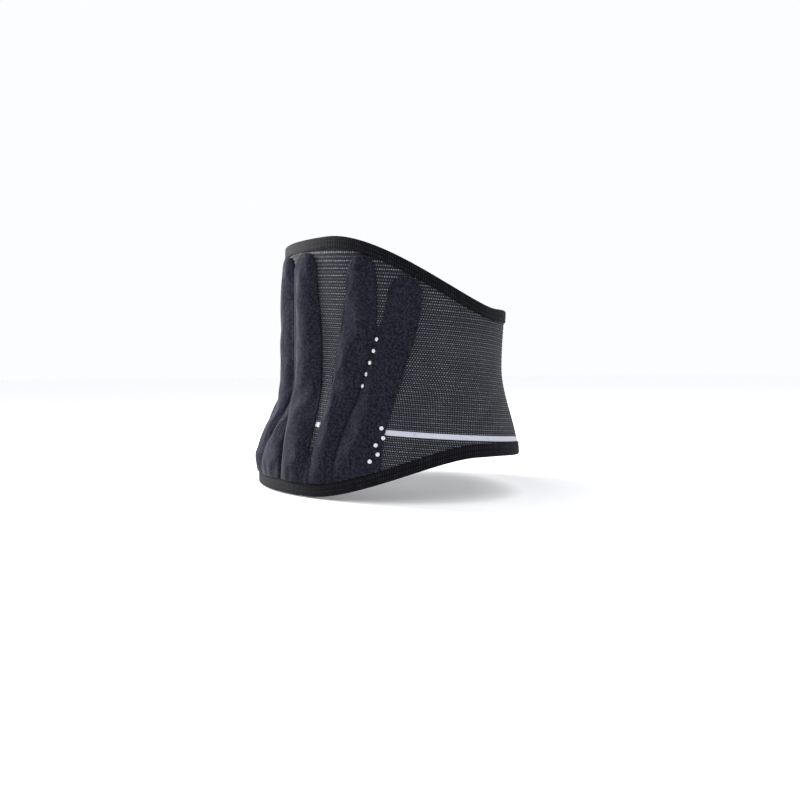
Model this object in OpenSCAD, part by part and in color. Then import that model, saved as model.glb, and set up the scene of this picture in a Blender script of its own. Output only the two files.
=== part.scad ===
// Lumbar support belt, worn closed round the waist, in millimetres.
// +Z is up along the spine, the closure is at -Y, the spine at +Y and the wearer's right at -X.
// The origin is the centre of the waist, at the height where the waist is narrowest.
// Places on the belt are given as an angle from the spine, a height, and a depth out from the skin.

/* [Waist] */
// Inside width of the belt at the waist
waist_width = 284; // [220:1:360]
// Inside width at the hips
hip_width = 337; // [260:1:420]
// Depth from the axis to the skin at the spine, at the waist
waist_back_depth = 106; // [80:1:140]
// The same depth over the sacrum
hip_back_depth = 134; // [100:1:170]
// Depth from the axis to the skin at the belly, at the waist
waist_front_depth = 100; // [75:1:140]
// The same depth below the navel
hip_front_depth = 112; // [85:1:155]
// The same depth under the ribs
rib_front_depth = 106; // [80:1:150]

/* [Outline] */
// Height of the top edge above the waist, at the back
back_rise = 130; // [105:1:160]
// Depth of the bottom edge below the waist, at the back
back_drop = 118; // [95:1:145]
// Height of the top edge above the waist, at the front
front_rise = 60; // [45:1:75]
// Depth of the bottom edge below the waist, at the front
front_drop = 83; // [65:1:95]

/* [Fabric] */
// Thickness of the elastic knit
knit_t = 1.8; // [1.2:0.1:2.6]
// Thickness of the edge tape
tape_t = 0.9; // [0.6:0.1:1.4]
// Width of the folded edge tape
tape_w = 12; // [8:0.5:16]
// Clearance between neighbouring layers
gap = 0.25; // [0.2:0.05:0.4]
// Angle of the side seams where the wings begin
seam_angle = 97; // [90:1:105]
// Width of the slit at a seam
seam_slit = 0.7; // [0.6:0.1:1.2]

/* [Stay pads] */
// Thickness of the velour cover
velour_t = 0.9; // [0.6:0.1:1.4]
// Height of the padding over the knit at the crown of a pad
pad_rise = 5.4; // [4:0.2:9]
// Radius of the round top of a pad
pad_round = 17; // [10:1:22]
// Width of a spring stay
stay_w = 11; // [7:1:14]
// Thickness of a spring stay
stay_t = 1; // [0.8:0.1:1.4]
// Diameter of a silicone dot
dot_d = 3.7; // [2.5:0.1:5]
// Height of a silicone dot
dot_h = 0.8; // [0.4:0.1:1.5]

/* [Stripe] */
// Width of the reflective stripe
stripe_w = 4.8; // [3:0.2:8]
// Height of the stripe below the waist at the spine
stripe_drop = 47.5; // [35:0.5:60]
// Fall of the stripe toward the front for each degree round the waist
stripe_fall = 0.144; // [0.05:0.001:0.17]

/* [Closure] */
// Length of the closure flap round the belly
flap_length = 88; // [65:1:110]
// Height of the flap at its free end
flap_end_height = 104; // [80:1:125]
// Thickness of the hook sheet under the flap
hook_t = 1; // [0.8:0.1:1.4]
// Distance from the flap's seam to the tip of the left wing
tip_setback = 22; // [18:1:30]

/* [Lumbar pad] */
// Width of the removable pad
lumbar_w = 96; // [70:1:120]
// Height of the removable pad
lumbar_h = 148; // [110:1:170]
// Thickness of the pad at its middle
lumbar_t = 11; // [8:0.5:15]

/* [Hidden] */

// The waist is narrowest at the origin; the hips are reached this far below it.
hip_level = 101;
rib_level = 85;
belly_level = 74;
// The edges are level behind the kidneys and sweep over these angles to the front.
level_angle = 24;
top_sweep = 96;
bottom_sweep = 70;
bottom_dip = 4.5;
// The fabric's raw edge sits this far inside the folded tape.
fold = gap + tape_t;
// Depths of the layers, out from the skin.
knit_out = knit_t;
cover_in = knit_out + gap;
stay_in = cover_in + gap;
stay_out = stay_in + stay_t;
foam_in = stay_out + tape_t + gap;
trim_out = knit_out + gap + tape_t;
hook_in = trim_out + 0.6;
panel_in = hook_in + hook_t + gap;
panel_out = panel_in + knit_t;
cap_angles = [28, 54, 76];
pad_steps = 13;
bottom_fade = 22;
// Rows are close together below the knee, where the hips flare, and wider apart above it.
knee = 8;
close_pitch = 10;
wide_pitch = 20;

function clamp01(x) = min(max(x, 0), 1);
function ease(x) = let (c = clamp01(x)) c * c * (3 - 2 * c);
function mix(a, b, f) = a + (b - a) * f;
function steps(n) = [for (i = [0:n]) i / n];
// How many rows lie below and above the knee, and the rows themselves, from a low to a high edge.
function row_counts(low, high) = [
    max(0, ceil((knee - low) / close_pitch)),
    max(0, ceil((high - knee) / wide_pitch))];
function rows_between(low, high, counts) = concat(
    [for (i = [0:1:counts[0] - 1]) mix(low, min(knee, high), i / counts[0])],
    counts[1] > 0 ? [for (i = [0:counts[1]]) mix(max(low, knee), high, i / counts[1])] : [high]);

function half_width(z) = mix(waist_width, hip_width, ease((5 - z) / hip_level)) / 2;
function back_depth(z) = mix(waist_back_depth, hip_back_depth, ease((-5 - z) / hip_level));
function front_depth(z) = waist_front_depth
    + (rib_front_depth - waist_front_depth) * ease(z / rib_level)
    + (hip_front_depth - waist_front_depth) * ease(-z / belly_level);

// A point at an angle t from the spine, a height z and a depth d out from the skin.
function skin(t, z, d) =
    let (a = half_width(z), b = cos(t) >= 0 ? back_depth(z) : front_depth(z))
    let (n = norm([b * sin(t), a * cos(t)]))
    [-(a + d * b / n) * sin(t), (b + d * a / n) * cos(t), z];

// How many degrees round the waist a length spans there.
function span(t, z, length) =
    let (b = cos(t) >= 0 ? back_depth(z) : front_depth(z))
    length / norm([half_width(z) * cos(t), b * sin(t)]) * 180 / PI;

// Edges of the belt; the front is at 180 degrees and the flap carries on past it.
function turn(t) = abs(t) > 180 ? 360 - abs(t) : abs(t);
function top_edge(t) = mix(back_rise, front_rise, ease((turn(t) - level_angle) / top_sweep));
function bottom_edge(t) =
    -mix(back_drop, front_drop - bottom_dip, ease((turn(t) - level_angle) / bottom_sweep))
    - bottom_dip * ease((turn(t) - 100) / 50);
function top_raw(t) = top_edge(t) - fold;
function bottom_raw(t) = bottom_edge(t) + fold;
// The stripe runs down toward the front and stays clear of the bottom tape.
function stripe_z(t) = max(
    -stripe_drop - stripe_fall * min(turn(t), 138),
    bottom_edge(t) + tape_w + gap + stripe_w / 2);

// Edges of the stay pads, as angles from the spine at a height.
function inner_near(z) = 1.2 + 8.8 * ease((-21 - z) / 80);
function inner_far(z) = 18.5 + 3.5 * ease((110 - z) / 90) + 2.6 * ease((-20 - z) / 80);
function mid_near(z) = 26 + 10.5 * ease((z + 58) / 159);
function mid_free(z) = 36.5 + 14 * ease((z + 90) / 159);
function outer_free(z) = 36.5 + 20 * ease((z + 80) / 159);
function outer_far(z) = 55 + 17 * ease((z + 74) / 148);
// The middle and outer pads draw together from fork_top, and the gap ends bluntly over fork_blunt
// at fork_z. Below that they share one stitched seam.
fork_top = 95;
fork_z = 40;
fork_blunt = 6;
function fork(z) =
    0.5 * ease((fork_top - z) / (fork_top - fork_z))
    + 0.5 * ease((fork_z + fork_blunt - z) / fork_blunt);
function seam_line(z) = (mid_free(z) + outer_free(z)) / 2;
function mid_far(z) = mix(mid_free(z), seam_line(z) - span(45, z, gap / 2), fork(z));
function outer_near(z) = mix(outer_free(z), seam_line(z) + span(45, z, gap / 2), fork(z));

// Each pad: its two edges, the height of its top and the radius of its round top.
near_edges = [function(z) inner_near(z), function(z) mid_near(z), function(z) outer_near(z)];
far_edges = [function(z) inner_far(z), function(z) mid_far(z), function(z) outer_far(z)];
pad_axes = [10, 44, 64];
foot_axes = [17, 31, 46];
inner = 0;
mid = 1;
outer = 2;
// The pads stop just short of the edge tapes; the outer pad leans, so it stops a little lower.
tape_margin = 1.2;
lean_margin = 2;
function pad_top(k) = top_edge(pad_axes[k]) - tape_w - tape_margin - (k == outer ? lean_margin : 0);
function pad_bottom(t) = bottom_edge(t) + tape_w + gap * 2;
function pad_axis(k, z) = (near_edges[k](z) + far_edges[k](z)) / 2;
function pad_half(k, z) = (far_edges[k](z) - near_edges[k](z)) / 2;
// Rows up a pad: height, share of the width, share of the rise.
function pad_rows(k, n) =
    let (low = pad_bottom(foot_axes[k]), high = pad_top(k))
    concat(
        [for (i = [0:n])
            let (z = mix(low, high - pad_round, i / n))
            [z, 1, mix(0.35, 1, ease((z - low) / bottom_fade))]],
        [for (a = cap_angles) [high - pad_round + pad_round * sin(a), cos(a), pow(cos(a), 0.6)]]);
function crown(u) = 1 - pow(abs(u), 2.6);
// A place on a pad, with u across it from -1 to 1; its foot follows the bottom edge.
function pad_place(k, row, u) =
    let (t = pad_axis(k, row[0]) + u * row[1] * pad_half(k, row[0]))
    let (c = pad_axis(k, row[0]))
    let (foot = ease((-30 - row[0]) / 60) * (pad_bottom(t) - pad_bottom(c)))
    [t, row[0] + foot];
function pad_crown(row, u) = pad_rise * row[2] * crown(u);

// A solid between two grids of points, closed along its four sides.
module between(low, high) {
    n = len(low[0]);
    m = len(low);
    count = n * m;
    out = high[0][0] - low[0][0];
    turned = cross(high[0][1] - high[0][0], high[1][0] - high[0][0]) * out > 0;
    function quad(a, b, c, d) = turned ? [[a, c, b], [a, d, c]] : [[a, b, c], [a, c, d]];
    faces = [
        for (j = [0:m - 2], i = [0:n - 2])
            let (p = j * n + i, q = p + n)
            each concat(
                quad(count + p, count + p + 1, count + q + 1, count + q),
                quad(p, q, q + 1, p + 1)),
        for (j = [0:m - 2])
            let (p = j * n, q = p + n, e = n - 1)
            each concat(
                quad(count + p, count + q, q, p),
                quad(count + q + e, count + p + e, p + e, q + e)),
        for (i = [0:n - 2])
            let (p = i, q = (m - 1) * n + i)
            each concat(
                quad(count + p + 1, count + p, p, p + 1),
                quad(count + q, count + q + 1, q + 1, q))];
    polyhedron(points = concat([for (r = low) each r], [for (r = high) each r]), faces = faces);
}

// A sheet over a range of angles, between two edges given as heights, at a fixed depth.
module sheet(from, to, low_edge, high_edge, d_in, d_out, across) {
    middle = (from + to) / 2;
    counts = row_counts(low_edge(middle), high_edge(middle));
    columns = function(d) [for (u = steps(across))
        let (t = mix(from, to, u))
        [for (z = rows_between(low_edge(t), high_edge(t), counts)) skin(t, z, d)]];
    between(columns(d_in), columns(d_out));
}

// The folded tape's section: inside and outside of the fold, as distance in from the raw edge and depth.
function fold_inside(d_in, d_out) = [
    [tape_w - fold, d_in - gap], [-gap * 0.4, d_in - gap], [-gap, d_in],
    [-gap, d_out], [-gap * 0.4, d_out + gap], [tape_w - fold, d_out + gap]];
function fold_outside(d_in, d_out) = [
    [tape_w - fold, d_in - fold], [-fold * 0.4, d_in - fold], [-fold, d_in - gap],
    [-fold, d_out + gap], [-fold * 0.4, d_out + fold], [tape_w - fold, d_out + fold]];

// Tape folded over a raw edge; inward is +1 where the fabric lies above the edge, -1 below.
module edge_tape(from, to, raw_edge, inward, d_in, d_out, stations) {
    grid = function(section) [for (u = steps(stations))
        let (t = mix(from, to, u)) [for (p = section) skin(t, raw_edge(t) + inward * p[0], p[1])]];
    between(grid(fold_inside(d_in, d_out)), grid(fold_outside(d_in, d_out)));
}

module mirrored() mirror([1, 0, 0]) children();

// ---- back section ----

back_columns = 34;
wing_columns = 16;
knit_colour = "#3c4044";
tape_colour = "#131416";
velour_colour = "#2a2b34";
stripe_colour = "#cdd0dc";

module back_knit() color(knit_colour)
    sheet(-seam_angle, seam_angle, function(t) bottom_raw(t), function(t) top_raw(t),
        0, knit_out, back_columns);

module back_top_binding() color(tape_colour)
    edge_tape(-seam_angle, seam_angle, function(t) top_raw(t), -1, 0, knit_out, back_columns);

module back_bottom_binding() color(tape_colour)
    edge_tape(-seam_angle, seam_angle, function(t) bottom_raw(t), 1, 0, knit_out, back_columns);

// A length of stripe between two angles.
module stripe(from, to, pieces) color(stripe_colour)
    sheet(from, to, function(t) stripe_z(t) - stripe_w / 2, function(t) stripe_z(t) + stripe_w / 2,
        knit_out + gap, knit_out + gap + 0.2, pieces);

module back_stripe_half() {
    stripe(outer_far(stripe_z(57)) + 1.6, seam_angle, 8);
    stripe(inner_far(stripe_z(24)) + 0.6, mid_near(stripe_z(24)) - 0.5, 1);
}

module back_stripe() {
    back_stripe_half();
    mirrored() back_stripe_half();
}

// ---- stay pads ----

pad_columns = [-1, -0.86, -0.62, -0.32, 0, 0.32, 0.62, 0.86, 1];

module cover(k) color(velour_colour) {
    rows = pad_rows(k, pad_steps);
    grid = function(extra) [for (r = rows) [for (u = pad_columns)
        let (p = pad_place(k, r, u)) skin(p[0], p[1], cover_in + extra + pad_crown(r, u))]];
    between(grid(0), grid(velour_t));
}

// Foam fills the pad above the stay.
foam_columns = [-0.62, -0.32, 0, 0.32, 0.62];
module foam(k) color("#c9c5b8") {
    rows = [for (r = pad_rows(k, pad_steps)) if (r[1] > 0.8 && r[2] > 0.85) r];
    grid = function(top) [for (r = rows) [for (u = foam_columns)
        let (p = pad_place(k, r, u))
        skin(p[0], p[1], top ? cover_in + pad_crown(r, u) - gap : foam_in)]];
    between(grid(false), grid(true));
}

tip_length = 9;
stay_margin = 16;
stay_foot = 20;
function stay_rows(k) =
    let (low = pad_bottom(pad_axis(k, -100)) + stay_foot, high = pad_top(k) - stay_margin)
    concat([low], [for (i = [0:10]) mix(low + tip_length, high - tip_length, i / 10)], [high]);

function stay_side(k, z, offset) = pad_axis(k, z) + span(pad_axis(k, z), z, offset);

module stay(k) color("#b9bcc0") {
    grid = function(d) [for (z = stay_rows(k)) [for (s = [-0.5, 0.5])
        skin(stay_side(k, z, s * stay_w), z, d)]];
    between(grid(stay_in), grid(stay_out));
}

// A dipped plastic tip folded over one end of a stay.
module stay_tip(k, end, inward) {
    inside = [[tip_length, stay_in - 0.05], [-0.1, stay_in - 0.05],
        [-0.1, stay_out + 0.05], [tip_length, stay_out + 0.05]];
    outside = [[tip_length, stay_in - 0.2], [-1, stay_in - 0.2],
        [-1, stay_out + 0.2 + tape_t / 2], [tip_length, stay_out + 0.2 + tape_t / 2]];
    grid = function(section) [for (s = [-0.56, 0.56]) [for (p = section)
        let (z = end + inward * p[0]) skin(stay_side(k, z, s * stay_w), z, p[1])]];
    between(grid(inside), grid(outside));
}

module stay_tips_half() for (k = [inner, mid, outer]) {
    rows = stay_rows(k);
    stay_tip(k, rows[0], 1);
    stay_tip(k, rows[len(rows) - 1], -1);
}

module stay_tips() color("#e6e4dc") {
    stay_tips_half();
    mirrored() stay_tips_half();
}

// The panel over the sacrum, between the feet of the two inner pads.
sacral_top = -44;
sacral_rise = 6;
sacral_rows = 6;
sacral_columns = [-1, -0.7, -0.35, 0, 0.35, 0.7, 1];
function sacral_half(z) = inner_near(z) - span(0, z, gap * 2);
function sacral_z(v) = mix(pad_bottom(0), sacral_top, v);
function sacral_bulge(u, v) = sacral_rise * crown(u) * mix(0.35, 1, ease(v * 4)) * ease((1.15 - v) * 1.6);
module sacral_cover() color(velour_colour) {
    grid = function(extra) [for (v = steps(sacral_rows)) [for (u = sacral_columns)
        skin(u * sacral_half(sacral_z(v)), sacral_z(v), cover_in + extra + sacral_bulge(u, v))]];
    between(grid(0), grid(velour_t));
}

module sacral_foam() color("#c9c5b8") {
    grid = function(top) [for (i = [1:sacral_rows - 1]) [for (u = [-0.7, -0.35, 0, 0.35, 0.7])
        let (v = i / sacral_rows)
        skin(u * sacral_half(sacral_z(v)), sacral_z(v),
            top ? cover_in + sacral_bulge(u, v) - gap : cover_in + 0.1)]];
    between(grid(false), grid(true));
}

// Depth of a pad's face at an angle and a height.
function face_depth(t, z, k) =
    let (u = (t - pad_axis(k, z)) / pad_half(k, z))
    cover_in + velour_t + pad_rise * crown(clamp01(abs(u)));
// A silicone dot at an angle and a height, pointing straight out of the outer pad's face.
// It stands clear of the face, measured at the side of the dot where the face is highest.
dot_lift = 0.1;
module dot_at(t, z, high_side) {
    d = face_depth(t + high_side, z, outer) + dot_lift;
    p = skin(t, z, d);
    q = skin(t, z, d + 1) - p;
    up = skin(t, z + 1, d) - skin(t, z - 1, d);
    normal = cross(up, cross(q, up));
    translate(p)
        rotate([0, acos(normal[2] / norm(normal)), atan2(normal[1], normal[0])])
            cylinder(d = dot_d, h = dot_h, $fn = 24);
}

// Five dots run down the stitched seam and five zigzag on the outer pad's foot.
seam_dots = [29.7, 19, 8, -2.7, -13.8];
foot_dots = [[54.2, -51.4], [55, -60.4], [52.6, -66.2], [53.6, -74.7], [51.2, -81.1]];
module dots() color("#f2f2f2") {
    for (z = seam_dots) dot_at(seam_line(z) + 1, z, 0.9);
    for (p = foot_dots) dot_at(p[0], p[1], -0.8);
}

// ---- inside the back ----

// Loop fabric inside the back, where the removable pad hangs.
loop_t = 0.8;
field_half = 22;
field_top = 86;
field_bottom = -84;
module pad_loop_field() color("#1b1c1f")
    sheet(-field_half, field_half, function(t) field_bottom, function(t) field_top,
        -gap - loop_t, -gap, 8);

// A blank care label sewn inside, beside the loop field and below the top tape.
label_t = 0.35;
label_h = 28;
label_below_tape = 18;
label_angles = [30, 38];
function label_top(t) = top_edge(label_angles[0]) - tape_w - label_below_tape;
module care_label() color("#e9e9e6")
    sheet(label_angles[0], label_angles[1], function(t) label_top(t) - label_h, function(t) label_top(t),
        -gap - label_t, -gap, 3);

// ---- wings ----

right_end = 180 - 0.2;
left_end = 180 - span(180, 0, tip_setback);
slit_angle = span(90, 0, seam_slit);

module wing_knit(end) color(knit_colour)
    sheet(seam_angle + slit_angle, end, function(t) bottom_raw(t), function(t) top_raw(t),
        0, knit_out, wing_columns);

module wing_top(end) color(tape_colour)
    edge_tape(seam_angle + slit_angle, end, function(t) top_raw(t), -1, 0, knit_out, wing_columns);

module wing_bottom(end) color(tape_colour)
    edge_tape(seam_angle + slit_angle, end, function(t) bottom_raw(t), 1, 0, knit_out, wing_columns);

module right_knit() wing_knit(right_end);
module right_top_binding() wing_top(right_end);
module right_bottom_binding() wing_bottom(right_end);
module right_stripe() stripe(seam_angle + slit_angle, right_end, 14);

// The left wing's tip is bound by an upright tape between the two edge tapes.
end_raw = left_end - span(180, 0, fold);
module left_knit() mirrored() wing_knit(end_raw);
module left_top_binding() mirrored() wing_top(left_end);
module left_bottom_binding() mirrored() wing_bottom(left_end);
module left_stripe() mirrored() stripe(seam_angle + slit_angle, landing_start - 1, 8);

// A folded tape standing upright over a raw end at an angle; side is +1 where the fabric lies before it.
module upright_tape(raw_angle, side, low, high, d_in, d_out) {
    grid = function(section) [for (z = rows_between(low, high, row_counts(low, high)))
        [for (p = section) skin(raw_angle - side * span(180, 0, p[0]), z, p[1])]];
    between(grid(fold_inside(d_in, d_out)), grid(fold_outside(d_in, d_out)));
}

module left_end_binding() color(tape_colour) mirrored()
    upright_tape(end_raw, 1, bottom_edge(180) + tape_w + 0.3, top_edge(180) - tape_w - 0.3, 0, knit_out);

// Loop landing on the outside of the left wing, under the flap.
landing_length = 74;
landing_end = left_end - span(180, 0, tape_w + 0.4);
landing_start = landing_end - span(155, 0, landing_length);
landing_margin = tape_w + 3;
module left_loop_patch() color("#17181b") mirrored()
    sheet(landing_start, landing_end, function(t) bottom_edge(t) + landing_margin,
        function(t) top_edge(t) - landing_margin, cover_in, cover_in + loop_t, 10);

// A flat finger pocket on the left wing, clear of the landing.
pocket_length = 34;
pocket_t = 1.1;
pocket_clear = 20;
module left_finger_pocket() color(tape_colour) mirrored()
    sheet(landing_start - span(140, 0, pocket_length + pocket_clear),
        landing_start - span(140, 0, pocket_clear),
        function(t) bottom_edge(t) + landing_margin + 10, function(t) top_edge(t) - landing_margin - 6,
        cover_in, cover_in + pocket_t, 5);

// ---- closure flap ----

// The flap starts level with the right wing and steps out over the left wing's tip.
flap_start = 180 + 0.2;
flap_end = 180 + span(170, 0, flap_length);
step_length = span(180, 0, tip_setback - 5);
function flap_lift(t) = panel_in * ease((t - flap_start) / step_length);
function flap_share(t) = clamp01((t - flap_start) / (flap_end - flap_start));
// The free end is lower than the seam, with its corners rounded off.
end_round = 0.16;
function flap_trim(t) =
    let (f = (flap_share(t) - 1 + end_round) / end_round)
    mix(0, (top_edge(180) - bottom_edge(180) - flap_end_height) / 2, ease(flap_share(t)))
    + (f > 0 ? 22 * (1 - sqrt(1 - min(f * f, 0.96))) : 0);
function flap_top(t) = top_raw(t) - flap_trim(t);
function flap_bottom(t) = bottom_raw(t) + flap_trim(t);
flap_shares = [0, 0.05, 0.11, 0.17, 0.24, 0.36, 0.48, 0.6, 0.72, 0.84, 0.9, 0.95, 0.98, 1];
function flap_angle(f) = mix(flap_start, flap_end, f);

flap_counts = row_counts(flap_bottom(flap_angle(0.5)), flap_top(flap_angle(0.5)));
module flap_panel() color(knit_colour) {
    columns = function(d) [for (f = flap_shares)
        let (t = flap_angle(f))
        [for (z = rows_between(flap_bottom(t), flap_top(t), flap_counts)) skin(t, z, flap_lift(t) + d)]];
    between(columns(0), columns(knit_t));
}

// The tape runs along the bottom, up the free end and back along the top.
flap_edge = concat(
    [for (f = flap_shares) [flap_angle(f), flap_bottom(flap_angle(f))]],
    [for (v = [0.15, 0.33, 0.5, 0.67, 0.85])
        [flap_end, mix(flap_bottom(flap_end), flap_top(flap_end), v)]],
    [for (i = [len(flap_shares) - 1:-1:0])
        let (t = flap_angle(flap_shares[i])) [t, flap_top(t)]]);
degree = 1 / span(170, 0, 1);
function flap_run(k) =
    let (last = len(flap_edge) - 1, a = flap_edge[max(k - 1, 0)], b = flap_edge[min(k + 1, last)])
    let (run = [(b[0] - a[0]) * degree, b[1] - a[1]])
    k == 0 || k == last ? [sign(run[0]), 0] : run / norm(run);
function flap_rim(section) = [for (k = [0:len(flap_edge) - 1])
    let (run = flap_run(k), place = flap_edge[k])
    [for (p = section)
        let (t = place[0] - run[1] * p[0] / degree)
        skin(t, place[1] + run[0] * p[0], flap_lift(t) + p[1])]];

module flap_binding() color(tape_colour)
    between(flap_rim(fold_inside(0, knit_t)), flap_rim(fold_outside(0, knit_t)));

hook_start = 180 + span(180, 0, tip_setback + 16);
hook_end = flap_end - span(150, 0, tape_w + 4);
module flap_hook() color("#202124")
    sheet(hook_start, hook_end, function(t) flap_bottom(t) + tape_w, function(t) flap_top(t) - tape_w,
        hook_in, hook_in + hook_t, 8);

module flap_finger_pocket() color(tape_colour)
    sheet(flap_end - span(150, 0, tape_w + 30), flap_end - span(150, 0, tape_w + 2),
        function(t) flap_bottom(t) + tape_w + 4, function(t) flap_top(t) - tape_w - 4,
        panel_out + gap, panel_out + gap + pocket_t, 4);

// The tape that covers the seam between the right wing and the flap, on the flap's side.
module flap_seam_tape() color(tape_colour) {
    top = top_edge(180) - tape_w - 1.4;
    low = bottom_edge(180) + tape_w + 1.4;
    columns = function(d) [for (f = [0.002, 0.05, 0.11])
        let (t = flap_angle(f))
        [for (z = rows_between(low, top, row_counts(low, top))) skin(t, z, flap_lift(t) + d)]];
    between(columns(knit_t + gap), columns(knit_t + gap + tape_t * 0.6));
}

// ---- removable lumbar pad ----

lumbar_z = 2;
lumbar_back = -gap - loop_t - 0.35;
lumbar_hook_t = 0.9;
lumbar_columns = [-1, -0.94, -0.75, -0.4, 0, 0.4, 0.75, 0.94, 1];
// Rows up the pad: place from -1 to 1 and share of the width, an oval with a long waist.
function lumbar_share(v) = sqrt(max(1 - pow(abs(v), 3.2), 0.02));
lumbar_rows = [-1, -0.97, -0.88, -0.74, -0.58, -0.42, -0.26, -0.1, 0.1, 0.34, 0.58, 0.78, 0.92, 1];
function lumbar_dome(u, v) = (1 - pow(abs(u), 3)) * (1 - pow(abs(v), 4));
function lumbar_point(u, v, size, d) =
    let (z = lumbar_z + v * size * lumbar_h / 2)
    skin(span(0, z, u * size * lumbar_share(v) * lumbar_w / 2), z, d);
module lumbar_solid(size, d_back, d_rim, d_dome) {
    grid = function(face) [for (v = lumbar_rows) [for (u = lumbar_columns)
        lumbar_point(u, v, size, face ? d_rim - d_dome * lumbar_dome(u, v) : d_back)]];
    between(grid(false), grid(true));
}

lumbar_skin = 1.2;
cover_face = lumbar_back - lumbar_hook_t - gap * 2;
// The cover is the pad's shell: a velour back, a rim and a domed face round the core.
module lumbar_cover() color("#1d1e24") difference() {
    lumbar_solid(1, cover_face, cover_face - 3.4, lumbar_t - 3.4);
    lumbar_solid(0.955, cover_face - lumbar_skin, cover_face - 3.2 + lumbar_skin / 2, lumbar_t - 3.4);
}

module lumbar_core() color("#7d8aa0")
    lumbar_solid(0.94, cover_face - lumbar_skin - 0.2, cover_face - 3 + lumbar_skin / 2, lumbar_t - 3.8);

// Soft nubs on the face of the pad, in two columns beside the spine.
nub_d = 9;
nub_h = 2;
module lumbar_nubs() color("#39404e")
    for (side = [-1, 1], i = [-2:2]) {
        p = lumbar_point(side * 0.42, i * 0.3, 1, cover_face - lumbar_t);
        translate([p[0], p[1] - gap * 2, p[2]])
            rotate([90, 0, 0])
                cylinder(d1 = nub_d, d2 = nub_d * 0.6, h = nub_h, $fn = 32);
    }

// Two hook strips on the back of the pad.
strip_w = 18;
strip_h = 100;
module lumbar_hooks() color("#202124")
    for (side = [-1, 1]) {
        centre = side * span(0, 0, lumbar_w * 0.26);
        half = span(0, 0, strip_w / 2);
        sheet(centre - half, centre + half, function(t) lumbar_z - strip_h / 2,
            function(t) lumbar_z + strip_h / 2, lumbar_back - lumbar_hook_t, lumbar_back, 2);
    }

back_knit();
back_top_binding();
back_bottom_binding();
back_stripe();
cover(inner);  // cover_inner_right
cover(mid);  // cover_mid_right
cover(outer);  // cover_outer_right
mirrored() cover(inner);  // cover_inner_left
mirrored() cover(mid);  // cover_mid_left
mirrored() cover(outer);  // cover_outer_left
sacral_cover();
foam(inner);  // foam_inner_right
foam(mid);  // foam_mid_right
foam(outer);  // foam_outer_right
mirrored() foam(inner);  // foam_inner_left
mirrored() foam(mid);  // foam_mid_left
mirrored() foam(outer);  // foam_outer_left
sacral_foam();
stay(inner);  // stay_inner_right
stay(mid);  // stay_mid_right
stay(outer);  // stay_outer_right
mirrored() stay(inner);  // stay_inner_left
mirrored() stay(mid);  // stay_mid_left
mirrored() stay(outer);  // stay_outer_left
stay_tips();
dots();  // dots_right
mirrored() dots();  // dots_left
pad_loop_field();
care_label();
right_knit();
right_top_binding();
right_bottom_binding();
right_stripe();
left_knit();
left_top_binding();
left_bottom_binding();
left_end_binding();
left_stripe();
left_loop_patch();
left_finger_pocket();
flap_panel();
flap_binding();
flap_hook();
flap_finger_pocket();
flap_seam_tape();
lumbar_cover();
lumbar_core();
lumbar_nubs();
lumbar_hooks();
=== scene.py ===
"""Looks of the lumbar support belt: knit, tape, velour stay pads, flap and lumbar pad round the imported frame.

Places on the belt are an angle from the spine in degrees, a height in millimetres and a depth out from
the skin in millimetres, as in the part. Meshes are in metres, in the row frame.
"""
import math

import bpy
import numpy as np
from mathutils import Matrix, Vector


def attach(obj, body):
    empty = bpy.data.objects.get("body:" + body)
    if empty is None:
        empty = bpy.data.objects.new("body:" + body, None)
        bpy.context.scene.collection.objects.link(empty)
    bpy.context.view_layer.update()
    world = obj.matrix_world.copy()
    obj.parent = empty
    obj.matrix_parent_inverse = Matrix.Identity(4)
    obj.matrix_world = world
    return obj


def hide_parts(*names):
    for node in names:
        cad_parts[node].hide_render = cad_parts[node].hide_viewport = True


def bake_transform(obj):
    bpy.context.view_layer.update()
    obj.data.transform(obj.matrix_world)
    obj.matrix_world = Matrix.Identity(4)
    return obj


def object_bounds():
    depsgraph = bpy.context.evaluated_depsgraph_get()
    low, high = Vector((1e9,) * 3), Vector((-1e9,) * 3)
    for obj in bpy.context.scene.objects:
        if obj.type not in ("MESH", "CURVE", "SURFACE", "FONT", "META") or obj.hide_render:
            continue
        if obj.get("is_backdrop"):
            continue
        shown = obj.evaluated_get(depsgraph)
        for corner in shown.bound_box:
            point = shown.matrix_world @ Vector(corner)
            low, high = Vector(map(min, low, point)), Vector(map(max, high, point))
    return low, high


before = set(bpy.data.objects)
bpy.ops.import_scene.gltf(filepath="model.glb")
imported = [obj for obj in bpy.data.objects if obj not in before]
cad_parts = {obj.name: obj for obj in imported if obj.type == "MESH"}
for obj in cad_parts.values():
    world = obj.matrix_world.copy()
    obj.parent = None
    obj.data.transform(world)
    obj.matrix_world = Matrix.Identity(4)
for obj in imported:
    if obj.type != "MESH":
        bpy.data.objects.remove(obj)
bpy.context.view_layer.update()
MM = 0.001

# ---- driving sizes, the part's own values in millimetres ----
WAIST_WIDTH, HIP_WIDTH = 284, 337
WAIST_BACK, HIP_BACK = 106, 134
WAIST_FRONT, HIP_FRONT, RIB_FRONT = 100, 112, 106
BACK_RISE, BACK_DROP = 130, 118
FRONT_RISE, FRONT_DROP = 60, 83
KNIT, TAPE, TAPE_WIDTH, GAP = 1.8, 0.9, 12, 0.25
PAD_RISE, PAD_ROUND = 5.6, 17
FOAM_OVER_STAY, FOAM_UNDER_FACE, FOAM_LEAST = 2.4, 1.5, 0.3
FOAM_START_SHARE, FOAM_LAST_ROW = 0.8, 62
DOT_WIDTH, DOT_HEIGHT = 3.9, 1.0
STRIPE_WIDTH, STRIPE_DROP, STRIPE_FALL = 4.8, 47.5, 0.144
LOOP, HOOK = 0.8, 1.0
COVER_IN = KNIT + GAP
FOLD = GAP + TAPE
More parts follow.
